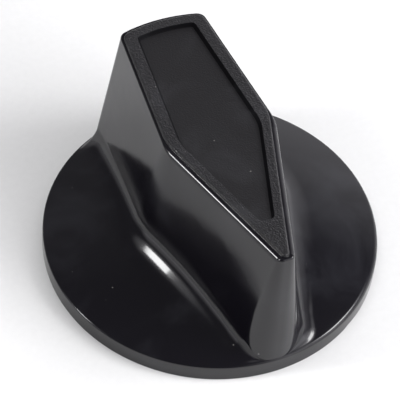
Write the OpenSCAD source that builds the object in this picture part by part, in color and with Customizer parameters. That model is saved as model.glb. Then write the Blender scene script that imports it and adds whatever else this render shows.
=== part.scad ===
// Appliance control knob: a domed round skirt with a tall pointer-shaped grip, moulded in one shot,
// and the spring-steel clip in its hub that holds it on a shaft with a flat.
// The shaft's axis is Z, the skirt stands on z = 0, and the pointer's tip looks along -Y.
// All sizes are in millimetres, and angles are in degrees.

/* [Skirt] */
// Diameter of the round skirt
skirt_d = 57; // [54:0.5:64]
// Height of the skirt's rim
skirt_h = 3.3; // [2.8:0.1:5]
// Rise of the domed skirt from its rim to the shaft's axis
dome_h = 4.4; // [3:0.1:5.5]
// Radius on the rim's upper edge
rim_round = 0.4; // [0.2:0.1:0.8]
// Thickness of the rim's wall
rim_wall = 1.8; // [1.2:0.1:2.6]
// Thickness of the skirt's roof
roof_t = 1.7; // [1.2:0.1:2.2]

/* [Grip] */
// Height from the skirt's base to the top of the pad
knob_h = 29; // [25:0.5:34]
// Width of the grip at its bend, at pad level
grip_w = 19.4; // [18:0.2:23]
// Width of the pointer's tip, at pad level
tip_w = 2.6; // [2:0.1:5]
// Width of the blunt end, at pad level
blunt_w = 14.8; // [11:0.2:16]
// Draft of the two side walls that run to the tip
tip_draft = 7.5; // [5:0.1:10]
// Draft of the two side walls that run to the blunt end
blunt_draft = 8.4; // [6:0.1:11]
// Draft of the two end faces
end_draft = 3; // [1:0.1:4]
// Step from the rim in to the foot of the end faces
end_step = 0.2; // [0.1:0.1:1.5]
// Radius of the bend between the two walls of a side, at pad level
bend_r = 8; // [6:1:12]
// Radius of the same bend at the base
bend_base_r = 18; // [12:1:24]
// Radius of the tip's two corners, at pad level
tip_corner_r = 0.7; // [0.4:0.1:1]
// Radius of the same corners at the base, where it may not pass a full round
tip_base_r = 6; // [2:0.1:7]
// Radius of the blunt end's two corners
blunt_corner_r = 1.6; // [1:0.1:3]
// Reach of the foot's blend up the side walls
foot_up = 3.2; // [2:0.1:5]
// Reach of the foot's blend out over the skirt
foot_out = 5; // [3:0.1:5.5]
// Radius on the grip's upper edge
shoulder_r = 0.45; // [0.3:0.05:0.7]

/* [Pad] */
// Height of the raised pad above the grip's upper edge
pad_h = 0.5; // [0.3:0.05:1]
// Distance from the grip's walls in to the pad's edge
pad_inset = 0.6; // [0.3:0.05:1]
// Radius on the pad's corners
pad_corner_r = 0.7; // [0.4:0.1:1]
// Width of the border around the sunk face
border_w = 2; // [1.5:0.1:3]
// Depth of the sunk face below the border
sink_depth = 0.7; // [0.4:0.1:1.2]
// Distance of the sunk face's tip from the shaft's axis
sink_reach = 18.8; // [16:0.2:21]
// Radius on the sunk face's corners
sink_corner_r = 0.5; // [0.3:0.1:1]

/* [Hollow] */
// Thickness of the grip's walls
grip_wall = 2; // [1.5:0.1:2.5]
// Thickness of the grip's top below the sunk face
top_wall = 2.2; // [1.6:0.1:3]
// Thickness of the ribs between the hub and the walls
rib_t = 1.4; // [1:0.1:2]
// Height of the side ribs' lower edges above the base
side_rib_z = 6; // [5:0.5:10]
// Height of the long ribs' lower edges above the base
long_rib_z = 12; // [11.5:0.5:16]

/* [Hub] */
// Diameter of the hub
hub_d = 14; // [13.6:0.1:15]
// Height of the hub's mouth above the base
hub_recess = 1; // [0.6:0.1:2]
// Diameter of the shaft that the hub takes
shaft_d = 8; // [7.6:0.05:8.2]
// Thickness of the shaft across its flat
shaft_flat = 6.5; // [6.2:0.1:6.8]
// Gap between the shaft and the bore, all round
shaft_clear = 0.05; // [0.02:0.01:0.1]
// Depth of the bore from the hub's mouth
bore_depth = 15; // [13:0.5:18]
// Width of the chamfer at the bore's mouth
bore_chamfer = 0.5; // [0.3:0.1:0.8]

/* [Shaft spring] */
// Thickness of the spring's strip
strip_t = 0.4; // [0.3:0.05:0.5]
// Width of the spring's strip
strip_w = 4; // [3:0.1:5]
// Inside radius of the spring's bends
strip_bend_r = 0.3; // [0.2:0.05:0.5]
// Bow of the inner leg towards the shaft
leg_bow = 0.3; // [0.2:0.05:0.4]
// Height of the inner leg above the hub's mouth
inner_leg = 10; // [8:0.5:12]
// Height of the outer leg above the hub's mouth
outer_leg = 7; // [5:0.5:9]
// Thickness of the hub's wall between the two legs
straddle_t = 1.8; // [1.4:0.1:2]
// Gap between the spring and the hub
spring_clear = 0.05; // [0.03:0.01:0.1]

/* [Hidden] */

// How far a cutting shape reaches past the surface that it opens
cut = 1;
// How far the grip is let into the skirt
let_in = 0.3;
arc_steps = 8;
wall_steps = 10;
corner_steps = 6;
end_steps = 3;
foot_steps = 8;
round_fn = 144;
small_fn = 48;

skirt_r = skirt_d / 2;
grip_top_z = knob_h - pad_h;
sunk_z = knob_h - sink_depth;
hollow_z = sunk_z - top_wall;

// Reach of the end faces from the shaft's axis, at pad level
end_reach = skirt_r - end_step - (knob_h - skirt_h) * tan(end_draft);
// Directions that the tip-side and the blunt-side wall face, measured from +X
tip_facing = -atan((grip_w - tip_w) / 2 / end_reach);
blunt_facing = atan((grip_w - blunt_w) / 2 / end_reach);
// Lean of the rounded shoulder's lower edge, between the two drafts
shoulder_lean = (tip_draft + blunt_draft) / 2;
// Turn from the ends' middle at which the foot's blend has died out
end_turn = 20;
// Share of the blend that is left there
end_share = 0.03;
// Pull of the blend's curve towards the line where wall and skirt would meet
foot_pull = 0.7;
// Largest corner radius at the tip, as a share of the one that would round it fully
tip_fullness = 0.95;

bore_r = shaft_d / 2 + shaft_clear;
shaft_flat_y = shaft_flat - shaft_d / 2;
bore_flat_y = shaft_flat_y + leg_bow + strip_t;
straddle_y = bore_flat_y + straddle_t;
slot_w = strip_w + 2 * spring_clear;
notch_h = strip_t + strip_bend_r + 2 * spring_clear;

function toward(a) = [cos(a), sin(a)];

function arc_points(centre, r, a0, a1) =
    [for (i = [0:arc_steps]) centre + r * toward(a0 + (a1 - a0) * i / arc_steps)];

// Height of the domed skirt at distance r from the shaft's axis
function dome_z(r) = skirt_h + dome_h * (1 - pow(r / skirt_r, 2));

// Points of an outline are kept as [point, direction that the wall faces there]
function arc_stretch(centre, r, a0, a1, steps) =
    [for (i = [0:steps]) let (a = a0 + (a1 - a0) * i / steps) [centre + r * toward(a), a]];

function wall_stretch(from, to, a) =
    [for (i = [1:wall_steps - 1]) [from + (to - from) * i / wall_steps, a]];

// Centre of a corner of radius r between a wall that faces angle a and the round end; side is -1
// at the tip and 1 at the blunt end
function corner_centre(a, reach, end, r, side) =
    (reach - r) * toward(a) + side * sqrt(pow(end - r, 2) - pow(reach - r, 2)) * toward(a + 90);

// Centre of the bend's radius r between walls that face angles a and b at distances near and far
function bend_centre(a, b, near, far, r) =
    ((near - r) * toward(b - 90) - (far - r) * toward(a - 90)) / sin(b - a);

// Right half of the grip's outline at one level, drop below the pad and moved in by inset, from
// the middle of the tip round to the middle of the blunt end
function half_outline(drop, inset) =
    let (
        share = drop / knob_h,
        end = end_reach + drop * tan(end_draft) - inset,
        mid_r = bend_r + (bend_base_r - bend_r) * share,
        near = grip_w / 2 * cos(tip_facing) + drop * tan(tip_draft) - inset,
        far = grip_w / 2 * cos(blunt_facing) + drop * tan(blunt_draft) - inset,
        full_r = (near + end * sin(tip_facing)) / (1 + sin(tip_facing)),
        tip_r = min(tip_corner_r + (tip_base_r - tip_corner_r) * share, tip_fullness * full_r),
        tip_c = corner_centre(tip_facing, near, end, tip_r, -1),
        mid_c = bend_centre(tip_facing, blunt_facing, near, far, mid_r),
        blunt_c = corner_centre(blunt_facing, far, end, blunt_corner_r, 1),
        tip_a = atan2(tip_c[1], tip_c[0]),
        blunt_a = atan2(blunt_c[1], blunt_c[0]),
        tip_arc = arc_stretch([0, 0], end, -90, tip_a, 1),
        tip_corner = arc_stretch(tip_c, tip_r, tip_a, tip_facing, corner_steps),
        bend = arc_stretch(mid_c, mid_r, tip_facing, blunt_facing, corner_steps),
        blunt_corner = arc_stretch(blunt_c, blunt_corner_r, blunt_facing, blunt_a, corner_steps),
        blunt_arc = arc_stretch([0, 0], end, blunt_a, 90, end_steps)
    )
    concat(
        [tip_arc[0]],
        tip_corner,
        wall_stretch(tip_corner[corner_steps][0], bend[0][0], tip_facing),
        bend,
        wall_stretch(bend[corner_steps][0], blunt_corner[0][0], blunt_facing),
        blunt_corner,
        [for (i = [1:end_steps]) blunt_arc[i]]
    );

function outline(drop, inset) =
    let (half = half_outline(drop, inset))
    concat(half, [for (i = [len(half) - 2:-1:1]) [[-half[i][0][0], half[i][0][1]], 180 - half[i][1]]]);

// Share of the foot's full blend where the wall faces angle a: all along the sides, almost none
// on the two end faces, with a soft start and finish on the corners between them
function blend_share(a) =
    let (
        right_a = a > 90 ? 180 - a : a,
        from_tip = (right_a + 90 - end_turn) / (tip_facing + 90 - end_turn),
        from_blunt = (90 - end_turn - right_a) / (90 - end_turn - blunt_facing),
        t = max(0, min(1, from_tip, from_blunt))
    )
    end_share + (1 - end_share) * t * t * (3 - 2 * t);

// Height at which the straight line from low, on the base, to high, drop above it, meets the skirt
function meeting_z(low, high, drop, z, tries) =
    tries == 0 ? z :
    meeting_z(low, high, drop, dome_z(norm(low + (high - low) * z / drop)), tries - 1);

function lifted(p, z) = [p[0], p[1], z];

// Rounded shoulder: rings from the ledge round the pad down to the walls
shoulder_z = grip_top_z - shoulder_r * (1 - sin(shoulder_lean));
shoulder_rings = [for (i = [0:corner_steps]) let (
        a = 90 - (90 - shoulder_lean) * i / corner_steps,
        z = grip_top_z - shoulder_r * (1 - sin(a)),
        inset = shoulder_r * (cos(shoulder_lean) - cos(a)) + (shoulder_z - z) * tan(shoulder_lean)
    ) [for (p = outline(knob_h - z, inset)) lifted(p[0], z)]];

// Foot: each wall line runs down to where it would meet the skirt, and a curve that leans on that
// point takes it from the wall out on to the skirt; the last ring is let into the skirt
wall_top = outline(knob_h - shoulder_z, 0);
wall_base = outline(knob_h, 0);
foot_columns = [for (i = [0:len(wall_base) - 1]) let (
        low = wall_base[i][0],
        high = wall_top[i][0],
        z = meeting_z(low, high, shoulder_z, skirt_h, foot_steps),
        corner = lifted(low + (high - low) * z / shoulder_z, z),
        wall = lifted(high, shoulder_z) - lifted(low, 0),
        facing = wall_base[i][1],
        share = blend_share(facing),
        up_end = corner + wall / norm(wall) * foot_up * share,
        plan = [corner[0], corner[1]] + foot_out * share * toward(facing),
        reach = min(norm(plan), skirt_r - let_in),
        out_end = lifted(plan * reach / norm(plan), dome_z(reach) - let_in)
    ) [for (k = [0:foot_steps]) let (
        t = k / foot_steps,
        weights = [pow(1 - t, 2), 2 * foot_pull * t * (1 - t), t * t]
    ) (weights[0] * up_end + weights[1] * corner + weights[2] * out_end) / (weights * [1, 1, 1])]];
foot_rings = [for (k = [0:foot_steps]) [for (column = foot_columns) column[k]]];

// Section of the hollow behind a drafted face: the face moved in by the wall, from x = back out
function inner_section(reach, draft, back) =
    let (
        wall = grip_wall / cos(draft),
        base_x = reach + (knob_h + cut) * tan(draft) - wall,
        roof_x = reach + (knob_h - hollow_z) * tan(draft) - wall
    )
    [[back, -cut], [base_x, -cut], [roof_x, hollow_z], [back, hollow_z]];

// A long bar of the given section whose face looks in one direction
module bar_facing(facing, section) {
    rotate([90, 0, facing])
        linear_extrude(2 * skirt_d, center = true)
            polygon(section);
}

// The grip's walls with their shoulder and foot, lofted through rings of points
module grip_solid() {
    rings = concat(shoulder_rings, foot_rings);
    around = len(rings[0]);
    last = len(rings) - 1;
    polyhedron(
        points = concat([for (ring = rings) each ring], [[0, 0, dome_z(0) - let_in]]),
        faces = concat(
            [[for (i = [around - 1:-1:0]) i]],
            [for (k = [0:last - 1], i = [0:around - 1]) let (
                    a = k * around + i,
                    b = k * around + (i + 1) % around
                ) each [[a, b, b + around], [a, b + around, a + around]]],
            [for (i = [0:around - 1]) [
                last * around + i,
                last * around + (i + 1) % around,
                len(rings) * around
            ]]
        )
    );
}

module grip_hollow() {
    intersection() {
        rotate_extrude($fn = round_fn)
            polygon(inner_section(end_reach, end_draft, 0));
        intersection_for (side = [[tip_facing, tip_draft], [blunt_facing, blunt_draft]]) {
            section = inner_section(grip_w / 2 * cos(side[0]), side[1], -skirt_d);
            intersection() {
                bar_facing(side[0], section);
                bar_facing(180 - side[0], section);
            }
        }
    }
}

// Outline of the grip's top at pad level, moved in from its walls, with its corners rounded
module top_outline(inset, corner_r) {
    offset(r = corner_r, $fn = small_fn)
        offset(delta = -inset - corner_r)
            polygon([for (p = outline(0, 0)) p[0]]);
}

module pad() {
    translate([0, 0, grip_top_z - pad_h])
        linear_extrude(2 * pad_h)
            top_outline(pad_inset, pad_corner_r);
}

// The sunk face follows the pad's edge, apart from its tip, which is cut short
module sunk_face() {
    translate([0, 0, sunk_z])
        linear_extrude(sink_depth + cut)
            intersection() {
                top_outline(pad_inset + border_w, sink_corner_r);
                translate([-skirt_r, -sink_reach])
                    square(skirt_d);
            }
}

// Section of the dome lowered by down, from just inside radius r in to the axis
function dome_section(r, down) =
    [for (i = [1:arc_steps]) let (x = r * (1 - i / arc_steps)) [x, dome_z(x) - down]];

// Dome and rim, with the rounding of the rim's upper edge tangent to both
module skirt() {
    rim_slope = atan(2 * dome_h / skirt_r);
    dome_r = skirt_r - rim_round * (1 - sin(rim_slope));
    centre = [skirt_r - rim_round, dome_z(dome_r) - rim_round * cos(rim_slope)];
    rotate_extrude($fn = round_fn)
        polygon(concat(
            [[0, 0], [skirt_r, 0]],
            arc_points(centre, rim_round, 0, 90 - rim_slope),
            dome_section(dome_r, 0)
        ));
}

module skirt_hollow() {
    inner_r = skirt_r - rim_wall;
    rotate_extrude($fn = round_fn)
        polygon(concat(
            [[0, -cut], [inner_r, -cut], [inner_r, dome_z(inner_r) - roof_t]],
            dome_section(inner_r, roof_t)
        ));
}

module hub() {
    translate([0, 0, hub_recess])
        cylinder(h = hollow_z + cut - hub_recess, d = hub_d, $fn = small_fn);
}

// Four ribs, which the hollow's walls cut to length
module ribs() {
    translate([-skirt_r, -rib_t / 2, side_rib_z])
        cube([skirt_d, rib_t, hollow_z + cut - side_rib_z]);
    translate([-rib_t / 2, -skirt_r, long_rib_z])
        cube([rib_t, skirt_d, hollow_z + cut - long_rib_z]);
}

// Round hole with one flat, chamfered at its mouth
module shaft_bore() {
    translate([0, 0, hub_recess - cut])
        intersection() {
            cylinder(h = bore_depth + cut, r = bore_r, $fn = small_fn);
            translate([-skirt_r, bore_flat_y - skirt_d, 0])
                cube([skirt_d, skirt_d, bore_depth + cut]);
        }
    translate([0, 0, hub_recess - cut])
        cylinder(h = bore_chamfer + cut, r1 = bore_r + bore_chamfer + cut, r2 = bore_r, $fn = small_fn);
}

// Room for the spring: along the bore's flat, under the straddled wall, and outside it
module spring_slot() {
    translate([-slot_w / 2, 0, hub_recess - cut]) {
        cube([slot_w, bore_flat_y, bore_depth + cut]);
        cube([slot_w, hub_d, notch_h + cut]);
        translate([0, straddle_y, 0])
            cube([slot_w, hub_d, outer_leg + spring_clear + cut]);
    }
}

// One moulding: skirt, hollow grip with its pad, hub and ribs
module knob_body() {
    color("#1c1c1e")
        difference() {
            union() {
                skirt();
                grip_solid();
                pad();
            }
            sunk_face();
            difference() {
                union() {
                    skirt_hollow();
                    grip_hollow();
                }
                hub();
                ribs();
            }
            shaft_bore();
            spring_slot();
        }
}

// Side view of the strip: a bowed leg in the bore, two bends and a straight leg outside
function spring_section() =
    let (
        bend_out = strip_bend_r + strip_t,
        base_z = hub_recess + spring_clear,
        bend_z = base_z + bend_out,
        inner_y = bore_flat_y - spring_clear - strip_t,
        outer_y = straddle_y + spring_clear + strip_t,
        inner_top = hub_recess + inner_leg,
        outer_top = hub_recess + outer_leg,
        bow = [for (i = [1:arc_steps - 1])
            [-leg_bow * sin(180 * i / arc_steps), bend_z + (inner_top - bend_z) * i / arc_steps]]
    )
    concat(
        [[outer_y, outer_top]],
        arc_points([outer_y - bend_out, bend_z], bend_out, 0, -90),
        arc_points([inner_y + bend_out, bend_z], bend_out, -90, -180),
        [for (p = bow) p + [inner_y, 0]],
        [[inner_y, inner_top], [inner_y + strip_t, inner_top]],
        [for (i = [len(bow) - 1:-1:0]) bow[i] + [inner_y + strip_t, 0]],
        arc_points([inner_y + bend_out, bend_z], strip_bend_r, -180, -90),
        arc_points([outer_y - bend_out, bend_z], strip_bend_r, -90, 0),
        [[outer_y - strip_t, outer_top]]
    );

// Clip that straddles the hub's wall and presses on the shaft's flat
module shaft_spring() {
    color("#b9bdc2")
        rotate([90, 0, 90])
            linear_extrude(strip_w, center = true)
                polygon(spring_section());
}

knob_body();
shaft_spring();
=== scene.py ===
"""Appliance control knob: a glossy black moulding with a domed skirt and a tall pointer grip.

The moulding's outside and its hollow are one closed surface of rings. The hub, its ribs and the
spring clip that holds a shaft are pieces of their own inside it. Sizes are in millimetres until a
mesh is made, and angles are in radians unless a name or a comment says degrees. The shaft's axis is
Z, the skirt stands on z = 0 and the pointer's tip looks along -Y.
"""
import math

import bpy
import mathutils
import numpy as np
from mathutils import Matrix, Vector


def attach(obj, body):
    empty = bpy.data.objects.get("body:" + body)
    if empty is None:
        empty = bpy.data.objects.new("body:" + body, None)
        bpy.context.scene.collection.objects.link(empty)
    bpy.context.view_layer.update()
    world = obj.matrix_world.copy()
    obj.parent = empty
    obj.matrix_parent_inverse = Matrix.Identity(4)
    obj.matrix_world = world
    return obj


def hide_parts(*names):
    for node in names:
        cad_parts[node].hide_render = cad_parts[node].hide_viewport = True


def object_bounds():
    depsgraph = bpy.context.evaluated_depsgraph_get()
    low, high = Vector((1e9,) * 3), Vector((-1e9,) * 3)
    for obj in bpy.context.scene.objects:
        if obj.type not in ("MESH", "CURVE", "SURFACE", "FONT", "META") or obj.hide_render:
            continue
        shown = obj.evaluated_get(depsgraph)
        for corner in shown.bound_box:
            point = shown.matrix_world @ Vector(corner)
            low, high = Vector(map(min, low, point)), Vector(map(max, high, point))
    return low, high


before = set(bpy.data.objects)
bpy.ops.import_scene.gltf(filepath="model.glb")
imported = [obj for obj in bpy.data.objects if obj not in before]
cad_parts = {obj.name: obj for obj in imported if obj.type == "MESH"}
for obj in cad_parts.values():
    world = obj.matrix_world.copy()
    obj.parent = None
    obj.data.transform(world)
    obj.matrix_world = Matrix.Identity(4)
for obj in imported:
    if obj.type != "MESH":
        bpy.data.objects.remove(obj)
cad_box = [list(map(float, corner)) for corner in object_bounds()]

MM = 0.001


def degrees(*values):
    """Angles given in degrees, as radians."""
    return [math.radians(value) for value in values]


# Skirt: its radius and the knob's height come from the frame's box
SKIRT_R = round(cad_box[1][0] / MM, 3)
KNOB_H = round(cad_box[1][2] / MM, 3)
RIM_H = 3.3
RIM_WALL = 1.8
ROOF_T = 1.7
DOME_H = 4.4

# Rim: its upper rounding, which hands have worn wider round one angle, and its lower edge with nicks.
# The angle, its width and each nick's angle and width are in degrees.
RIM_ROUND, RIM_ROUND_WORN = 0.35, 1.0
WORN_TURN, WORN_WIDTH = -38.0, 38.0
RIM_LEVELS = (1.8, 1.4, 0.8, 0.5)
RIM_FOOT_ROUND = 0.15
NICKS = (
    (-58.0, 1.4, 0.22),
    (-55.0, 2.2, 0.12),
    (-38.0, 2.0, 0.10),
    (-31.0, 1.3, 0.14),
    (-24.0, 2.4, 0.08),
)
NICK_DEPTH = 0.5

# Grip: widths at pad level, at the bend, the tip and the blunt end, drafts and roundings
GRIP_W = 19.4
TIP_W = 2.6
BLUNT_W = 14.8
NEAR_DRAFT, FAR_DRAFT, END_DRAFT = degrees(7.5, 8.4, 3.0)
END_STEP = 0.2
TIP_ROUND, TIP_ROUND_BASE = 1.1, 6.0
BEND_ROUND, BEND_ROUND_BASE = 8.0, 18.0
BLUNT_ROUND = 1.6
TIP_SHOULDER_R, NEAR_SHOULDER_R, FAR_SHOULDER_R = 0.35, 0.95, 0.28

# Foot: how far the blend reaches up the walls and out over the skirt, and how tightly it turns.
# Towards the tip, between the two values of TAPER_Y, its reach over the skirt falls to TIP_SHARE.
BLEND_UP = 3.2
BLEND_OUT = 5.0
BLEND_PULL = 0.7
TIP_SHARE = 0.6
TAPER_Y = (-22.0, -8.0)
END_TURN = math.radians(20)
END_SHARE = 0.03
FOOT_GAP = 0.02

# Pad: the raised top and its grained border. Its near, far and tip sides lie further in than
# PAD_INSET by the three steps.
PAD_H = 0.5
PAD_INSET = 0.6
NEAR_STEP, FAR_STEP, TIP_STEP = 0.28, -0.28, -0.15
PAD_ROUND = 0.75
PAD_EDGE = 0.36
PAD_FOOT_ROUND = 0.06
PAD_TIP_LEAST, PAD_BLUNT_LEAST = 0.2, 0.3
BORDER_W = 1.9
BORDER_START = 0.2

# Sunk face: its wall ends SINK_RUN inside the sunk outline and SINK_LIP outside it, and the border's
# grain begins at the share SINK_GRAIN of its width.
SINK_DEPTH = 0.7
SINK_TIP = 18.9
SINK_ROUND = 0.7
SINK_RUN, SINK_LIP, SINK_GRAIN = 0.38, 0.10, 0.85

# Hollow, hub and ribs: the hub and the ribs stand ROOT deep in the hollow's top, the ribs end
# RIB_SHORT inside the walls' outer faces, and the cuts in the hub start CUT_PAST outside it
GRIP_WALL = 2.0
HOLLOW_Z = 26.1
FLAT_OUTER, FLAT_INNER = 0.5, 0.25
INNER_EDGE = 0.1
INNER_STEP_Z = 0.3
INNER_CORNER = 0.4
MOUTH_GAP = 0.6
ROOT = 0.4
HUB_R = 7.0
HUB_Z = 1.0
HUB_EDGE = 0.2
HUB_STEP_Z = 8.5
BORE_R = 4.05
BORE_FLAT_Y = 3.2
BORE_TOP_Z = 16.0
BORE_STEP_Z = 6.0
BORE_CHAMFER = 0.5
STRADDLE_Y = 5.0
SLOT_W = 4.1
NOTCH_Z = 1.8
SLOT_TOP_Z = 8.05
CUT_PAST = 1.0
RIB_T = 1.4
RIB_EDGE = 0.3
RIB_SHORT = 1.0
SIDE_RIB_Z = 6.0
LONG_RIB_Z = 12.0

# Spring clip
STRIP_W = 4.0
STRIP_T = 0.4
STRIP_EDGE = 0.12
STRIP_BEND = 0.3
SPRING_GAP = 0.05
LEG_BOW = 0.3
INNER_LEG = 10.0
OUTER_LEG = 7.0
OUTER_LEG_STEP_Z = 4.0

# What follows from the sizes
END_REACH = SKIRT_R - END_STEP - (KNOB_H - RIM_H) * math.tan(END_DRAFT)
NEAR_FACING = -math.atan((GRIP_W - TIP_W) / 2 / END_REACH)
FAR_FACING = math.atan((GRIP_W - BLUNT_W) / 2 / END_REACH)
NEAR_REACH = GRIP_W / 2 * math.cos(NEAR_FACING)
FAR_REACH = GRIP_W / 2 * math.cos(FAR_FACING)
SUNK_Z = KNOB_H - SINK_DEPTH
LEDGE_Z = KNOB_H - PAD_H
INNER_R = SKIRT_R - RIM_WALL
RIM_SLOPE = math.atan(2 * DOME_H / SKIRT_R)
SHARP_TURN, STRIP_SHARP_TURN = degrees(35, 40)

# Finishes of the moulding, in the order of its materials; the last one is painted shade on the sunk
# face's wall
GLOSS, BORDER, SUNK, SHADED_SINK_WALL = range(4)


# Rings and closed surfaces: how many steps each stretch of the outline has, how many rings each
# stretch of the moulding's profile has, and at which shares of their way the flat stretches have them
COUNTS = dict(tip=8, tip_corner=14, near=90, bend=22, far=46, blunt_corner=12, blunt=22)
LEVELS = dict(
    sink=12, pad_edge=8, pad_foot=3, shoulder=11, wall=11, foot=20, dome=17, rim=9, rim_foot=5, roof=10)
FACE_SHARES = (0.2, 0.4, 0.6, 0.8, 0.95)
BORDER_SHARES = (0.0, 0.33, 0.67, 1.0)
HOLLOW_WALL_SHARES = (0.03, 0.5, 0.97, 1.0)
HOLLOW_TOP_SHARES = (0.97, 0.5)

# Counts for the small pieces: the bore and its flat, the lower edges of the hub and the ribs, and
# the clip
BORE_FLAT_STEPS, BORE_ROUND_STEPS = 16, 64
HUB_EDGE_POINTS, RIB_EDGE_POINTS = 4, 5
STRIP_BEND_POINTS, STRIP_LEG_STEPS, STRIP_EDGE_POINTS = 9, 24, 7


def outline(near, far, tip, blunt, tip_round, bend_round, blunt_round):
    """The grip's closed outline at one level, seen from above, as (points, outward directions).

    Each side has a near wall n1.p = near and a far wall n2.p = far, and the two ends are circles of
    radius tip and blunt about the axis. A corner is an arc of radius r that touches both of its
    neighbours: between two walls its centre solves n1.c = near - r and n2.c = far - r, and beside an
    end of radius e it is c = n (near - r) + t sqrt((e - r)^2 - (near - r)^2), with t along the wall.
    Every level has the same count of points on each stretch, so the levels join point by point.
    """
    def arc(centre, radius, start, end, count):
        turn = np.linspace(start, end, count + 1)
        return centre + radius * np.stack([np.cos(turn), np.sin(turn)], 1), turn

    def wall(start, end, facing, count):
        share = np.linspace(0, 1, count + 1)[1:-1, None]
        return start + (end - start) * share, np.full(count - 1, facing)

    def beside_end(normal, reach, end, radius, side):
        along = math.sqrt(max((end - radius) ** 2 - (reach - radius) ** 2, 0))
        return normal * (reach - radius) + side * along * np.array([-normal[1], normal[0]])

    n1 = np.array([math.cos(NEAR_FACING), math.sin(NEAR_FACING)])
    n2 = np.array([math.cos(FAR_FACING), math.sin(FAR_FACING)])
    tip_centre = beside_end(n1, near, tip, tip_round, -1)
    bend_centre = np.linalg.solve([n1, n2], [near - bend_round, far - bend_round])
    blunt_centre = beside_end(n2, far, blunt, blunt_round, 1)
    tip_turn = math.atan2(tip_centre[1], tip_centre[0])
    blunt_turn = math.atan2(blunt_centre[1], blunt_centre[0])
    axis = np.zeros(2)
    tip_arc, tip_turns = arc(axis, tip, -math.pi / 2, tip_turn, COUNTS["tip"])
    blunt_arc, blunt_turns = arc(axis, blunt, blunt_turn, math.pi / 2, COUNTS["blunt"])
    corner, corner_turns = arc(
        blunt_centre, blunt_round, FAR_FACING, blunt_turn, COUNTS["blunt_corner"])
    near_ends = tip_centre + tip_round * n1, bend_centre + bend_round * n1
    far_ends = bend_centre + bend_round * n2, blunt_centre + blunt_round * n2
    stretches = [
        (tip_arc[:-1], tip_turns[:-1]),
        arc(tip_centre, tip_round, tip_turn, NEAR_FACING, COUNTS["tip_corner"]),
        wall(*near_ends, NEAR_FACING, COUNTS["near"]),
        arc(bend_centre, bend_round, NEAR_FACING, FAR_FACING, COUNTS["bend"]),
        wall(*far_ends, FAR_FACING, COUNTS["far"]),
        (corner[:-1], corner_turns[:-1]),
        (blunt_arc, blunt_turns),
    ]
    half = np.concatenate([points for points, _ in stretches])
    turn = np.concatenate([turns for _, turns in stretches])
    out = np.stack([np.cos(turn), np.sin(turn)], 1)
    mirror = [-1, 1]
    points = np.concatenate([half, half[-2:0:-1] * mirror])
    return points, np.concatenate([out, out[-2:0:-1] * mirror])


def at_height(points, z):
    """Flat points lifted to height z, which is one number or one for each point."""
    return np.column_stack([points[:, :2], np.broadcast_to(np.asarray(z, float), len(points))])


def at_radius(ray, r, z):
    """Points at radius r along flat unit rays, lifted to height z."""
    return at_height(ray * np.reshape(r, (-1, 1)), z)


def polar(points):
    """Each point's distance from the axis, and the flat unit ray that it lies on."""
    reach = np.hypot(points[:, 0], points[:, 1])
    return reach, points[:, :2] / reach[:, None]


def steps(count):
    """Shares of a stretch after each of its even steps. The last one is 1."""
    return np.arange(1, count + 1) / count


def quarter(radius, count):
    """A rounded edge's steps as pairs (r (1 - cos a), r (1 - sin a)), with a from 0 to a quarter turn."""
    a = np.linspace(0, math.pi / 2, count)
    return radius * np.stack([1 - np.cos(a), 1 - np.sin(a)], 1)


def closed_grid(rings, start, end):
    """Vertices, quads and triangles of a closed surface of rings, with one point at each end.

    Vertex (i, j) is rings[i][j]. Ring i is joined to ring i + 1 by quads that turn outwards, and the
    first and last rings close on the points start and end with triangles.
    """
    rings = np.asarray(rings, float)
    levels, around = rings.shape[:2]
    verts = np.concatenate([rings.reshape(-1, 3), [start, end]])
    j = np.arange(around)
    k = (j + 1) % around
    i = np.arange(levels - 1)[:, None] * around
    quads = np.stack([i + j, i + around + j, i + around + k, i + k], -1).reshape(-1, 4)
    first = np.stack([np.full(around, levels * around), j, k], 1)
    low = (levels - 1) * around
    last = np.stack([np.full(around, levels * around + 1), low + k, low + j], 1)
    return verts, quads, np.concatenate([first, last])


def mesh_object(name, verts, quads, tris, finishes=None):
    """A mesh object in metres, shaded smooth, whose normals are weighted by the faces' areas.

    Each vertex normal is the sum of the faces round it, each taken as the cross product of corner
    0 to 2 with corner 1 to the last, so that a wide flat face keeps its own direction right up to a
    small rounding. finishes gives each face's material.
    """
    mesh = bpy.data.meshes.new(name)
    verts = np.asarray(verts, float)
    faces = len(quads) + len(tris)
    mesh.vertices.add(len(verts))
    mesh.vertices.foreach_set("co", (verts * MM).astype(np.float32).ravel())
    mesh.loops.add(4 * len(quads) + 3 * len(tris))
    corners = np.concatenate([quads.ravel(), tris.ravel()])
    mesh.loops.foreach_set("vertex_index", corners.astype(np.int32))
    mesh.polygons.add(faces)
    starts = np.concatenate([np.arange(len(quads)) * 4, 4 * len(quads) + np.arange(len(tris)) * 3])
    mesh.polygons.foreach_set("loop_start", starts.astype(np.int32))
    mesh.polygons.foreach_set("use_smooth", np.ones(faces, bool))
    if finishes is not None:
        mesh.polygons.foreach_set("material_index", finishes.astype(np.int32))
    mesh.update(calc_edges=True)
    normals = np.zeros_like(verts)
    for kind in (quads, tris):
        p = verts[kind]
        face = np.cross(p[:, 2] - p[:, 0], p[:, -1] - p[:, 1])
        for corner in kind.T:
            np.add.at(normals, corner, face)
    normals /= np.linalg.norm(normals, axis=1, keepdims=True) + 1e-12
    mesh.normals_split_custom_set_from_vertices(normals.tolist())
    piece = bpy.data.objects.new(name, mesh)
    bpy.context.scene.collection.objects.link(piece)
    return piece


# The moulding's surface
def skirt_top(r):
    """Height of the domed skirt at radius r: the rim's height plus DOME_H (1 - (r / R)^2)."""
    return RIM_H + DOME_H * (1 - (r / SKIRT_R) ** 2)


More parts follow.
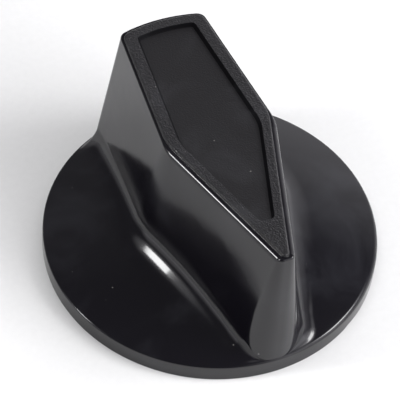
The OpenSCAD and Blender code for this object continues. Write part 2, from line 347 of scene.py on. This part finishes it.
def walls_at(z, inset=0.0):
    """The outline of the grip's walls at height z, moved in by inset.

    Each wall's reach grows by tan(draft) downwards. The tip's and the bend's corners open out evenly
    with the share of the knob's height that lies above z.
    """
    drop = KNOB_H - z
    share = drop / KNOB_H
    end = END_REACH + drop * math.tan(END_DRAFT) - inset
    return outline(
        NEAR_REACH + drop * math.tan(NEAR_DRAFT) - inset,
        FAR_REACH + drop * math.tan(FAR_DRAFT) - inset,
        end, end,
        TIP_ROUND + (TIP_ROUND_BASE - TIP_ROUND) * share,
        BEND_ROUND + (BEND_ROUND_BASE - BEND_ROUND) * share,
        BLUNT_ROUND)


def pad_ring(inset, z):
    """The pad's outline, inset from the walls at pad level and by a little more or less on each of
    its sides, with its corners rounded to match."""
    grow = PAD_INSET - inset
    return at_height(outline(
        NEAR_REACH - NEAR_STEP - inset,
        FAR_REACH - FAR_STEP - inset,
        END_REACH - TIP_STEP - inset,
        END_REACH - inset,
        max(PAD_ROUND + grow, PAD_TIP_LEAST),
        BEND_ROUND + grow,
        max(BLUNT_ROUND + grow, PAD_BLUNT_LEAST))[0], z)


def sink_ring(grow, z):
    """The sunk face's outline grown by grow: it runs PAD_INSET + BORDER_W inside the walls at pad
    level, but its tip is cut short at SINK_TIP."""
    inset = PAD_INSET + BORDER_W - grow
    return at_height(outline(
        NEAR_REACH - inset,
        FAR_REACH - inset,
        SINK_TIP + grow,
        END_REACH - inset,
        SINK_ROUND + grow,
        BEND_ROUND,
        SINK_ROUND + grow)[0], z)


def top_rings():
    """Rings from the middle of the sunk face, up its wall, over the border and down the pad's edge,
    each with the finish of the faces that follow it.

    The sunk face's wall rises by 3 t^2 - 2 t^3 of its depth while t goes from 0 to 1 across it.
    """
    face = sink_ring(-SINK_RUN, SUNK_Z)
    rings = [(face * [share, share, 1], SUNK) for share in FACE_SHARES]
    for t in np.linspace(0, 1, LEVELS["sink"]):
        rise = (KNOB_H - SUNK_Z) * t * t * (3 - 2 * t)
        wall = sink_ring(-SINK_RUN + (SINK_RUN + SINK_LIP) * t, SUNK_Z + rise)
        # Up to the grain, the sunk face's wall gets painted shade: a darker black with little sheen.
        rings.append((wall, SHADED_SINK_WALL if t < SINK_GRAIN else BORDER))
    inner = sink_ring(BORDER_START, KNOB_H)
    outer = pad_ring(PAD_INSET + PAD_EDGE + PAD_FOOT_ROUND, KNOB_H)
    rings += [(inner + (outer - inner) * share, BORDER) for share in BORDER_SHARES]
    for drop, back in quarter(PAD_EDGE, LEVELS["pad_edge"]):
        rings.append((pad_ring(PAD_INSET + back, KNOB_H - drop), BORDER))
    for out, rise in quarter(PAD_FOOT_ROUND, LEVELS["pad_foot"]):
        rings.append((pad_ring(PAD_INSET - out, LEDGE_Z + rise), GLOSS))
    return rings


def shoulder_rings():
    """The grip's upper edge: a rounding of radius r from level to the walls' mean draft d.

    The walls at ledge level are moved out by r ((1 - sin d) tan d - cos d + cos a) and down by
    r (1 - sin a). Along the outline, r goes between its values on the tip, the near and the far walls.
    """
    rings = []
    lean = (NEAR_DRAFT + FAR_DRAFT) / 2
    base, out = walls_at(LEDGE_Z)
    turn = np.arctan2(out[:, 1], np.abs(out[:, 0]))
    stops = [-math.pi / 2, (NEAR_FACING - math.pi / 2) / 2, NEAR_FACING, FAR_FACING]
    radius = np.interp(turn, stops, [TIP_SHOULDER_R, TIP_SHOULDER_R, NEAR_SHOULDER_R, FAR_SHOULDER_R])
    held = (1 - math.sin(lean)) * math.tan(lean) - math.cos(lean)
    for a in np.linspace(math.pi / 2, lean, LEVELS["shoulder"]):
        plan = base + out * (radius * (held + math.cos(a)))[:, None]
        rings.append(at_height(plan, LEDGE_Z - radius * (1 - math.sin(a))))
    return rings


def blend_share(out):
    """Share of the foot's full blend where the wall faces out: 1 all along the sides, almost none on
    the ends.

    Over the corners, t goes from 0 to 1 with the direction's angle and the share is
    END_SHARE + (1 - END_SHARE) t^2 (3 - 2t).
    """
    turn = np.arctan2(out[:, 1], np.abs(out[:, 0]))
    quarter_turn = math.pi / 2 - END_TURN
    from_tip = (turn + quarter_turn) / (NEAR_FACING + quarter_turn)
    from_blunt = (quarter_turn - turn) / (quarter_turn - FAR_FACING)
    t = np.clip(np.minimum(from_tip, from_blunt), 0, 1)
    return END_SHARE + (1 - END_SHARE) * t * t * (3 - 2 * t)


def meet(low, high, span, height):
    """Where straight lines from low, at z = 0, to high, at z = span, meet the surface z = height(r).

    The height is found by fixed-point steps, which settle long before the last one.
    """
    z = np.full(len(low), RIM_H + DOME_H / 2)
    for _ in range(40):
        p = low + (high - low) * (z / span)[:, None]
        z = height(np.minimum(np.hypot(p[:, 0], p[:, 1]), SKIRT_R))
    return at_height(p, z)


def swell(ray, centre, width):
    """A soft swelling over the rays' angle a: exp(-((a - centre) / width)^2), in degrees."""
    turn = np.degrees(np.arctan2(ray[:, 1], ray[:, 0]))
    return np.exp(-(((turn - centre) / width) ** 2))


def dome_edge(ray):
    """Where the dome ends and the rim's upper rounding begins, as (radius, rounding)."""
    worn = swell(ray, WORN_TURN, WORN_WIDTH)
    rounding = RIM_ROUND + (RIM_ROUND_WORN - RIM_ROUND) * worn
    return SKIRT_R - rounding * (1 - math.sin(RIM_SLOPE)), rounding


def wall_rings(shoulder):
    """The walls from the shoulder down, and the foot that takes them out on to the skirt.

    Each column is straight down to the blend. There a conic leads from the wall to the skirt, with
    the point where the two would meet as its middle: (a A + b B + c C) / (a + b + c), where a is
    (1 - t)^2, b is 2 w t (1 - t), c is t^2 and w is BLEND_PULL.
    """
    span = 20.0
    high, out = walls_at(span)
    low, _ = walls_at(0.0)
    foot = meet(low, high, span, skirt_top)
    up = np.column_stack([high - low, np.full(len(low), span)])
    up /= np.linalg.norm(up, axis=1, keepdims=True)
    share = blend_share(out)
    start = foot + up * (BLEND_UP * share)[:, None]
    rings = [shoulder + (start - shoulder) * t for t in steps(LEVELS["wall"])]
    reach_out = BLEND_OUT * share * np.interp(foot[:, 1], TAPER_Y, (TIP_SHARE, 1))
    reach, ray = polar(foot[:, :2] + out * reach_out[:, None])
    held = np.minimum(reach, dome_edge(ray)[0] - FOOT_GAP)
    end = at_radius(ray, held, skirt_top(held))
    for t in steps(LEVELS["foot"]):
        a, b, c = (1 - t) ** 2, 2 * BLEND_PULL * t * (1 - t), t * t
        rings.append((a * start + b * foot + c * end) / (a + b + c))
    return rings


def skirt_rings(foot_end):
    """The skirt from the foot's end out, the rim's rounding, its wall and its nicked lower edge."""
    reach, ray = polar(foot_end)
    dome_r, rounding = dome_edge(ray)
    rings = []
    for t in steps(LEVELS["dome"]):
        r = reach + (dome_r - reach) * t
        rings.append(at_radius(ray, r, skirt_top(r)))
    middle_z = skirt_top(dome_r) - rounding * math.cos(RIM_SLOPE)
    for t in steps(LEVELS["rim"]):
        a = (math.pi / 2 - RIM_SLOPE) * (1 - t)
        r = SKIRT_R - rounding * (1 - math.cos(a))
        rings.append(at_radius(ray, r, middle_z + rounding * math.sin(a)))
    rings += [at_radius(ray, SKIRT_R, z) for z in RIM_LEVELS]
    nicks = sum(height * swell(ray, centre, width) for centre, width, height in NICKS)
    for back, rise in quarter(RIM_FOOT_ROUND, LEVELS["rim_foot"]):
        cut = NICK_DEPTH * nicks * (1 - rise / RIM_FOOT_ROUND)
        rings.append(at_radius(ray, SKIRT_R - back - cut, rise + nicks))
    return rings


def hollow_rings(rim_end):
    """The underside: the rim's flat edge and inner wall, the roof a wall's thickness below the dome,
    and the grip's hollow, whose walls run up inside the grip's own."""
    def roof(r):
        return skirt_top(r) - ROOF_T

    _, ray = polar(rim_end)
    flat_edge = (SKIRT_R - FLAT_OUTER, INNER_R + FLAT_INNER, INNER_R + INNER_EDGE)
    inner_wall = (INNER_EDGE, INNER_STEP_Z, roof(INNER_R) - INNER_CORNER)
    rings = [at_radius(ray, r, 0) for r in flat_edge]
    rings += [at_radius(ray, INNER_R, z) for z in inner_wall]
    high, _ = walls_at(HOLLOW_Z, GRIP_WALL)
    low, _ = walls_at(0.0, GRIP_WALL)
    reach, _ = polar(low)
    low *= (np.minimum(reach, INNER_R - MOUTH_GAP) / reach)[:, None]
    mouth = meet(low, high, HOLLOW_Z, roof)
    for t in np.linspace(0, 1, LEVELS["roof"]):
        p = ray * (INNER_R - INNER_CORNER) * (1 - t) + mouth[:, :2] * t
        rings.append(at_height(p, roof(np.hypot(p[:, 0], p[:, 1]))))
    top = at_height(high, HOLLOW_Z)
    rings += [mouth + (top - mouth) * share for share in HOLLOW_WALL_SHARES]
    rings += [top * [share, share, 1] for share in HOLLOW_TOP_SHARES]
    return rings


def moulding():
    """The whole moulding as one closed surface, from the sunk face round to the hollow's top."""
    top = top_rings()
    shell = shoulder_rings()
    shell += wall_rings(shell[-1])
    shell += skirt_rings(shell[-1])
    shell += hollow_rings(shell[-1])
    rings = [ring for ring, _ in top] + shell
    verts, quads, tris = closed_grid(rings, (0, 0, SUNK_Z), (0, 0, HOLLOW_Z))
    finish = [kind for _, kind in top] + [GLOSS] * (len(shell) - 1)
    finishes = np.repeat(finish + [SUNK, GLOSS], len(rings[0]))
    return mesh_object("knob_moulding", verts, quads, tris, finishes)


# The hub, its ribs and the spring
def block(name, low, high):
    """A box between two corners, as a ring of four points at each of its two levels."""
    (x0, y0, z0), (x1, y1, z1) = low, high
    ring = np.array([(x0, y0), (x1, y0), (x1, y1), (x0, y1)], float)
    middle = ((x0 + x1) / 2, (y0 + y1) / 2)
    rings = [at_height(ring, z1), at_height(ring, z0)]
    return mesh_object(name, *closed_grid(rings, (*middle, z1), (*middle, z0)))


def cut_out(piece, cutters):
    """Takes each cutter away from the piece by an exact boolean, and deletes the cutter."""
    for cutter in cutters:
        step = piece.modifiers.new("cut", "BOOLEAN")
        step.operation = "DIFFERENCE"
        step.solver = "EXACT"
        step.object = cutter
    depsgraph = bpy.context.evaluated_depsgraph_get()
    mesh = bpy.data.meshes.new_from_object(piece.evaluated_get(depsgraph))
    piece.modifiers.clear()
    piece.data = mesh
    for cutter in cutters:
        bpy.data.objects.remove(cutter)


def sharpen(piece, angle):
    """Smooth shading, with the edges that turn by more than the angle kept sharp."""
    mesh = piece.data
    mesh.polygons.foreach_set("use_smooth", np.ones(len(mesh.polygons), bool))
    mesh.set_sharp_from_angle(angle=angle)


def hub():
    """The hub, a revolve of its wall and of its D-shaped bore, cut for the spring.

    The bore's radius at angle a is BORE_R, or BORE_FLAT_Y / sin a where that is less, which makes its
    flat. The rings go down the outside, round the mouth and its chamfer, and up the bore.
    """
    edge = math.asin(BORE_FLAT_Y / BORE_R)
    turn = np.concatenate([
        np.linspace(edge, math.pi - edge, BORE_FLAT_STEPS + 1)[:-1],
        np.linspace(math.pi - edge, 2 * math.pi + edge, BORE_ROUND_STEPS + 1)[:-1]])
    ray = np.stack([np.cos(turn), np.sin(turn)], 1)
    flat = np.where(ray[:, 1] > 0, BORE_FLAT_Y / np.maximum(ray[:, 1], 1e-6), BORE_R)
    bore = np.minimum(flat, BORE_R)
    top = HOLLOW_Z + ROOT
    rings = [at_radius(ray, HUB_R / 2, top)]
    rings += [at_radius(ray, HUB_R, z) for z in (top, HUB_STEP_Z)]
    for back, rise in quarter(HUB_EDGE, HUB_EDGE_POINTS):
        rings.append(at_radius(ray, HUB_R - back, HUB_Z + rise))
    rings.append(at_radius(ray, BORE_R + BORE_CHAMFER, HUB_Z))
    rings += [at_radius(ray, bore, z) for z in (HUB_Z + BORE_CHAMFER, BORE_STEP_Z, BORE_TOP_Z)]
    rings.append(at_radius(ray, bore / 2, BORE_TOP_Z))
    piece = mesh_object("hub", *closed_grid(rings, (0, 0, top), (0, 0, BORE_TOP_Z)))
    half, below, beyond = SLOT_W / 2, HUB_Z - CUT_PAST, HUB_R + CUT_PAST
    cut_out(piece, [
        block("notch", (-half, 0, below), (half, beyond, NOTCH_Z)),
        block("outer_slot", (-half, STRADDLE_Y, below), (half, beyond, SLOT_TOP_Z))])
    sharpen(piece, SHARP_TURN)
    return piece


def rib(name, along, low_z, reach, draft):
    """A rib across the hollow, standing in the walls at both ends.

    Its half length at height z is reach + (KNOB_H - z) tan(draft) - RIB_SHORT, and its section is
    RIB_T wide with its two lower edges rounded by a quarter circle.
    """
    def half_length(z):
        return reach + (KNOB_H - z) * math.tan(draft) - RIB_SHORT

    half, top = RIB_T / 2, HOLLOW_Z + ROOT
    back, rise = quarter(RIB_EDGE, RIB_EDGE_POINTS).T
    right = np.stack([half - back, low_z + rise], 1)
    section = np.concatenate([[[half, top]], right, right[::-1] * [-1, 1], [[-half, top]]])
    side = np.array([-along[1], along[0]])
    rings = [
        at_height(
            np.outer(end * half_length(section[:, 1]), along) + np.outer(section[:, 0], side),
            section[:, 1])
        for end in (-1, 1)]
    middle = (low_z + top) / 2
    reach_x, reach_y = np.multiply(along, half_length(middle))
    ends = [(end * reach_x, end * reach_y, middle) for end in (-1, 1)]
    piece = mesh_object(name, *closed_grid(rings, *ends))
    sharpen(piece, SHARP_TURN)
    return piece


def spring():
    """The spring clip: a rounded strip carried along its side view.

    The path runs down the outer leg, round two bends under the hub's wall and up the inner leg, which
    bows towards the shaft by LEG_BOW sin(pi t). At each point the strip's section, STRIP_W across
    and STRIP_T thick, lies across the path. Its edges are half ellipses STRIP_EDGE deep.
    """
    inner_y = BORE_FLAT_Y - SPRING_GAP - STRIP_T / 2
    outer_y = STRADDLE_Y + SPRING_GAP + STRIP_T / 2
    r = STRIP_BEND + STRIP_T / 2
    base_z = HUB_Z + SPRING_GAP + STRIP_T / 2
    bend_z = base_z + r
    a = np.linspace(0, math.pi / 2, STRIP_BEND_POINTS)
    outer_bend = np.stack([outer_y - r + r * np.cos(a), bend_z - r * np.sin(a)], 1)
    inner_bend = np.stack([inner_y + r - r * np.sin(a), bend_z - r * np.cos(a)], 1)
    t = steps(STRIP_LEG_STEPS)
    leg_z = bend_z + (HUB_Z + INNER_LEG - bend_z) * t
    inner_leg = np.stack([inner_y - LEG_BOW * np.sin(math.pi * t), leg_z], 1)
    outer_leg = [[outer_y, HUB_Z + OUTER_LEG], [outer_y, OUTER_LEG_STEP_Z]]
    path = np.concatenate([outer_leg, outer_bend, inner_bend, inner_leg])
    along = np.gradient(path, axis=0)
    along /= np.linalg.norm(along, axis=1, keepdims=True)
    across = np.stack([-along[:, 1], along[:, 0]], 1)
    b = np.linspace(-math.pi / 2, math.pi / 2, STRIP_EDGE_POINTS)
    right = np.stack([STRIP_W / 2 - STRIP_EDGE * (1 - np.cos(b)), STRIP_T / 2 * np.sin(b)], 1)
    section = np.concatenate([right, right[::-1] * [-1, 1]])
    rings = [
        np.column_stack([section[:, 0], np.outer(section[:, 1], normal) + point])
        for point, normal in zip(path, across)]
    ends = [(0, *path[0]), (0, *path[-1])]
    piece = mesh_object("spring_clip", *closed_grid(rings, *ends))
    sharpen(piece, STRIP_SHARP_TURN)
    return piece


# Materials
def add(tree, kind, inputs=None, **settings):
    """A node of one kind with its settings made, and each input given a value or a link."""
    node = tree.nodes.new(kind)
    for name, value in settings.items():
        setattr(node, name, value)
    for name, value in (inputs or {}).items():
        if isinstance(value, bpy.types.NodeSocket):
            tree.links.new(value, node.inputs[name])
        else:
            node.inputs[name].default_value = value
    return node


def new_group(name, numbers, output):
    """A node group that takes a vector and some numbers, and puts out one number."""
    tree = bpy.data.node_groups.new(name, "ShaderNodeTree")
    tree.interface.new_socket("Vector", in_out="INPUT", socket_type="NodeSocketVector")
    for label in numbers:
        tree.interface.new_socket(label, in_out="INPUT", socket_type="NodeSocketFloat")
    tree.interface.new_socket(output, in_out="OUTPUT", socket_type="NodeSocketFloat")
    return tree, add(tree, "NodeGroupInput").outputs


def grain_group():
    """Spark-eroded grain: fine noise with shallow round pits of the same size."""
    tree, given = new_group("moulded_grain", ["Scale"], "Height")
    noise = add(tree, "ShaderNodeTexNoise", {
        "Vector": given["Vector"], "Scale": given["Scale"], "Detail": 2.0, "Roughness": 0.6})
    pits = add(tree, "ShaderNodeTexVoronoi", {
        "Vector": given["Vector"], "Scale": given["Scale"]}, feature="SMOOTH_F1")
    height = add(tree, "ShaderNodeMath", {
        0: noise.outputs["Fac"], 1: pits.outputs["Distance"]}, operation="ADD")
    add(tree, "NodeGroupOutput", {"Height": height.outputs[0]})
    return tree


def dust_group():
    """Dust specks: round spots at the cells' points, of uneven size, in only a share of the cells."""
    tree, given = new_group("settled_dust", ["Spacing", "Size", "Share"], "Mask")
    cells = add(tree, "ShaderNodeTexVoronoi", {
        "Vector": given["Vector"], "Scale": given["Spacing"]})
    chance = add(tree, "ShaderNodeSeparateColor", {0: cells.outputs["Color"]})
    reach = add(tree, "ShaderNodeMath", {
        0: given["Size"], 1: chance.outputs[1]}, operation="MULTIPLY")
    spot = add(tree, "ShaderNodeMath", {
        0: cells.outputs["Distance"], 1: reach.outputs[0]}, operation="LESS_THAN")
    kept = add(tree, "ShaderNodeMath", {
        0: chance.outputs[0], 1: given["Share"]}, operation="LESS_THAN")
    mask = add(tree, "ShaderNodeMath", {
        0: spot.outputs[0], 1: kept.outputs[0]}, operation="MULTIPLY")
    add(tree, "NodeGroupOutput", {"Mask": mask.outputs[0]})
    return tree


def handling_group():
    """Handling marks: soft patches where the polish is a little dull."""
    tree, given = new_group("handling_marks", ["Scale"], "Mask")
    noise = add(tree, "ShaderNodeTexNoise", {
        "Vector": given["Vector"], "Scale": given["Scale"],
        "Detail": 5.0, "Roughness": 0.62, "Distortion": 0.6})
    patches = add(tree, "ShaderNodeMapRange", {
        "Value": noise.outputs["Fac"], "From Min": 0.46, "From Max": 0.72},
        interpolation_type="SMOOTHSTEP")
    add(tree, "NodeGroupOutput", {"Mask": patches.outputs["Result"]})
    return tree


GRAIN, DUST, HANDLING = grain_group(), dust_group(), handling_group()


def new_material(name, shader_inputs):
    """A material with one Principled shader, its node tree, and the piece's own coordinates."""
    material = bpy.data.materials.new(name)
    material.use_nodes = True
    tree = material.node_tree
    tree.nodes.clear()
    place = add(tree, "ShaderNodeTexCoord").outputs["Object"]
    shader = add(tree, "ShaderNodeBsdfPrincipled", shader_inputs)
    add(tree, "ShaderNodeOutputMaterial", {"Surface": shader.outputs[0]})
    return material, tree, shader, place


def use(tree, group, inputs):
    """Places a node group in a material and returns its only output."""
    return add(tree, "ShaderNodeGroup", inputs, node_tree=group).outputs[0]


DUST_COLOUR = (0.13, 0.127, 0.12, 1)
DUST_SPACING, DUST_SIZE = 620.0, 0.10
MARKS_SCALE = 75.0
FILM = (0.0080, 0.0083, 0.0095)


def black_plastic(name, colour, roughness, grain_scale, grain_depth, dust_share, specular=0.5):
    """Black moulded plastic. Roughness goes between two values with the handling marks, the grain is
    a bump of the given depth in metres, and dust specks show as pale dots. The marks also leave a
    thin film a little lighter than the plastic."""
    material, tree, shader, place = new_material(name, {"IOR": 1.5, "Specular IOR Level": specular})
    film_colour = [channel + extra for channel, extra in zip(colour, FILM)]
    dust = use(tree, DUST, {
        "Vector": place, "Spacing": DUST_SPACING, "Size": DUST_SIZE, "Share": dust_share})
    marks = use(tree, HANDLING, {"Vector": place, "Scale": MARKS_SCALE})
    grain = use(tree, GRAIN, {"Vector": place, "Scale": grain_scale})
    bump = add(tree, "ShaderNodeBump", {"Height": grain, "Distance": grain_depth, "Strength": 1.0})
    tree.links.new(bump.outputs["Normal"], shader.inputs["Normal"])
    film = add(tree, "ShaderNodeMix", {
        0: marks, 6: (*colour, 1), 7: (*film_colour, 1)}, data_type="RGBA")
    tint = add(tree, "ShaderNodeMix", {
        0: dust, 6: film.outputs[2], 7: DUST_COLOUR}, data_type="RGBA")
    tree.links.new(tint.outputs[2], shader.inputs["Base Color"])
    dull = add(tree, "ShaderNodeMapRange", {
        "Value": marks, "To Min": roughness[0], "To Max": roughness[1]})
    tree.links.new(dull.outputs["Result"], shader.inputs["Roughness"])
    return material


def spring_steel():
    """Cold-rolled strip: a metal whose roughness runs in fine streaks along the legs."""
    material, tree, shader, place = new_material("spring_steel", {
        "Metallic": 1.0, "Base Color": (0.50, 0.51, 0.53, 1)})
    along = add(tree, "ShaderNodeMapping", {"Vector": place, "Scale": (9000, 9000, 500)})
    streaks = add(tree, "ShaderNodeTexNoise", {
        "Vector": along.outputs[0], "Scale": 1.0, "Detail": 3.0})
    dull = add(tree, "ShaderNodeMapRange", {
        "Value": streaks.outputs["Fac"], "To Min": 0.2, "To Max": 0.5})
    tree.links.new(dull.outputs["Result"], shader.inputs["Roughness"])
    return material


def paper():
    """Pale, matt paper whose shade varies a little with its fibres."""
    material, tree, shader, place = new_material("paper", {"Roughness": 0.9})
    fibre = add(tree, "ShaderNodeTexNoise", {"Vector": place, "Scale": 900.0, "Detail": 4.0})
    shade = add(tree, "ShaderNodeMapRange", {
        "Value": fibre.outputs["Fac"], "To Min": 0.72, "To Max": 0.77})
    tree.links.new(shade.outputs["Result"], shader.inputs["Base Color"])
    return material


FINISHES = {
    GLOSS: black_plastic(
        "black_gloss", colour=(0.0042, 0.0037, 0.0058), roughness=(0.115, 0.15),
        grain_scale=110.0, grain_depth=0.00005, dust_share=0.25),
    BORDER: black_plastic(
        "black_grained", colour=(0.011, 0.0105, 0.012), roughness=(0.30, 0.34),
        grain_scale=3700.0, grain_depth=0.00010, dust_share=0.10),
    SUNK: black_plastic(
        "black_matt", colour=(0.0065, 0.0060, 0.0072), roughness=(0.46, 0.50),
        grain_scale=4000.0, grain_depth=0.00003, dust_share=0.25),
    # The sunk face's wall: painted shade, a darker black than the faces round it, with almost no sheen.
    SHADED_SINK_WALL: black_plastic(
        "sink_wall_painted_shade", colour=(0.004, 0.0038, 0.0046), roughness=(0.40, 0.45),
        grain_scale=6000.0, grain_depth=0.000006, dust_share=0.0, specular=0.05),
}

knob = moulding()
for finish in sorted(FINISHES):
    knob.data.materials.append(FINISHES[finish])

inside = [
    hub(),
    rib("side_ribs", (1, 0), SIDE_RIB_Z, GRIP_W / 2, NEAR_DRAFT),
    rib("long_ribs", (0, 1), LONG_RIB_Z, END_REACH, END_DRAFT),
]
for piece in inside:
    piece.data.materials.append(FINISHES[GLOSS])
for piece in [knob, *inside]:
    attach(piece, "root")
    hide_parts("knob_body")

clip = spring()
clip.data.materials.append(spring_steel())
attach(clip, "root")
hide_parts("shaft_spring")

# Camera: how it turns, and where it stands along its own axes right, up and back, in skirt radii
VIEW_TURN, VIEW_HEIGHT, VIEW_ROLL = degrees(-27.290, 51.318, 5.946)
VIEW_PLACE = (-0.0557, 0.2520, 16.167)
FOCAL_PIXELS = 2698.3
FRAME_PIXELS = 400


def aim():
    """The camera's own axes right, up and back, and its place, from the three view angles."""
    back = np.array([
        math.sin(VIEW_TURN) * math.cos(VIEW_HEIGHT),
        -math.cos(VIEW_TURN) * math.cos(VIEW_HEIGHT),
        math.sin(VIEW_HEIGHT)])
    level = np.array([math.cos(VIEW_TURN), math.sin(VIEW_TURN), 0.0])
    rise = np.cross(back, level)
    right = math.cos(VIEW_ROLL) * level + math.sin(VIEW_ROLL) * rise
    up = math.cos(VIEW_ROLL) * rise - math.sin(VIEW_ROLL) * level
    axes = np.stack([right, up, back], 1)
    return axes, axes @ VIEW_PLACE * SKIRT_R * MM


axes, stand = aim()
lens = bpy.data.cameras.new("camera")
lens.lens = FOCAL_PIXELS / FRAME_PIXELS * lens.sensor_width
lens.clip_start = 0.01
eye = bpy.data.objects.new("camera", lens)
bpy.context.scene.collection.objects.link(eye)
rows = [[*axes[row], stand[row]] for row in range(3)]
eye.matrix_world = mathutils.Matrix([*rows, [0, 0, 0, 1]])
bpy.context.scene.camera = eye

# Floor
bpy.ops.mesh.primitive_plane_add(size=4.0)
floor = bpy.context.object
floor.name = "floor"
floor.data.materials.append(paper())


# Lights
def toward(azimuth, height):
    """Unit direction at an azimuth and a height above the floor, both in degrees."""
    turn, rise = degrees(azimuth, height)
    return np.array([
        math.cos(rise) * math.cos(turn),
        math.cos(rise) * math.sin(turn),
        math.sin(rise)])


def softbox(name, direction, distance, spread, brightness, lean=0.0):
    """A rectangular lamp in a direction, at a distance in metres, that looks at the knob.

    It spans the given width and height in degrees and is turned by lean, in degrees, about the line
    to the knob. Its power is its brightness times pi times its area.
    """
    light = bpy.data.lights.new(name, "AREA")
    light.shape = "RECTANGLE"
    light.size, light.size_y = (2 * distance * math.tan(angle / 2) for angle in degrees(*spread))
    light.energy = brightness * math.pi * light.size * light.size_y
    lamp = bpy.data.objects.new(name, light)
    bpy.context.scene.collection.objects.link(lamp)
    way = toward(*direction)
    lamp.location = way * distance
    turn = mathutils.Quaternion((0, 0, 1), math.radians(lean))
    lamp.rotation_euler = (mathutils.Vector(-way).to_track_quat("-Z", "Y") @ turn).to_euler()
    return lamp


softbox("left_strip", (165.5, 40.5), distance=0.6, spread=(8, 15), brightness=24.0, lean=20)
softbox("right_window", (-22, 43), distance=0.6, spread=(17, 16), brightness=13.0)
overhead = softbox("overhead", (100, 80), distance=1.0, spread=(50, 50), brightness=1.0)
left_fill = softbox("left_fill", (172, 62), distance=0.35, spread=(30, 30), brightness=1.3)
right_fill = softbox("right_fill", (-50, 30), distance=0.3, spread=(30, 20), brightness=8.2)
for lamp in (overhead, left_fill, right_fill):
    lamp.visible_glossy = False


def soft_patch(tree, direction, centre, inner, outer, strength):
    """Light of the given strength round one direction, fading out from the inner to the outer angle,
    which are in degrees."""
    dot = add(tree, "ShaderNodeVectorMath", {
        0: direction, 1: toward(*centre)}, operation="DOT_PRODUCT")
    start, end = (math.cos(angle) for angle in degrees(outer, inner))
    fade = add(tree, "ShaderNodeMapRange", {
        "Value": dot.outputs["Value"], "From Min": start, "From Max": end, "To Max": strength},
        interpolation_type="SMOOTHSTEP")
    return fade.outputs["Result"]


# Light parts of the room: direction, inner angle and outer angle, all in degrees, and strength
ROOM_PATCHES = (
    ((44, 8), 8, 42, 0.90),
    ((5, 12), 6, 24, 0.35),
    ((85, 30), 8, 40, 0.09),
    ((-45, 35), 14, 40, 1.10),
    ((-52, 4), 10, 32, 1.20),
    ((-25, 22), 6, 20, 0.90),
    ((-20, 43), 9, 22, 2.00),
    ((164, 40), 7, 18, 1.00),
    ((171, 6), 6, 18, 0.90),
)


def room():
    """The room round the knob: dim above and to the left, lighter low down behind and to the right.
    The camera itself sees a pale wall."""
    world = bpy.data.worlds.new("room")
    world.use_nodes = True
    tree = world.node_tree
    tree.nodes.clear()
    direction = add(tree, "ShaderNodeTexCoord").outputs["Generated"]
    height = add(tree, "ShaderNodeSeparateXYZ", {0: direction}).outputs["Z"]
    low, high = (math.sin(angle) for angle in degrees(2, 12))
    total = add(tree, "ShaderNodeMapRange", {
        "Value": height, "From Min": low, "From Max": high, "To Min": 0.65, "To Max": 0.135},
        interpolation_type="SMOOTHSTEP").outputs["Result"]
    for centre, inner, outer, strength in ROOM_PATCHES:
        patch = soft_patch(tree, direction, centre, inner, outer, strength)
        total = add(tree, "ShaderNodeMath", {0: total, 1: patch}, operation="ADD").outputs[0]
    walls = add(tree, "ShaderNodeBackground", {"Color": (0.97, 0.96, 1.0, 1), "Strength": total})
    pale = add(tree, "ShaderNodeBackground", {"Color": (1, 1, 1, 1), "Strength": 0.95})
    seen = add(tree, "ShaderNodeLightPath").outputs["Is Camera Ray"]
    mixed = add(tree, "ShaderNodeMixShader", {0: seen, 1: walls.outputs[0], 2: pale.outputs[0]})
    add(tree, "ShaderNodeOutputWorld", {"Surface": mixed.outputs[0]})
    return world


bpy.context.scene.world = room()
bpy.context.scene.view_settings.view_transform = "Standard"
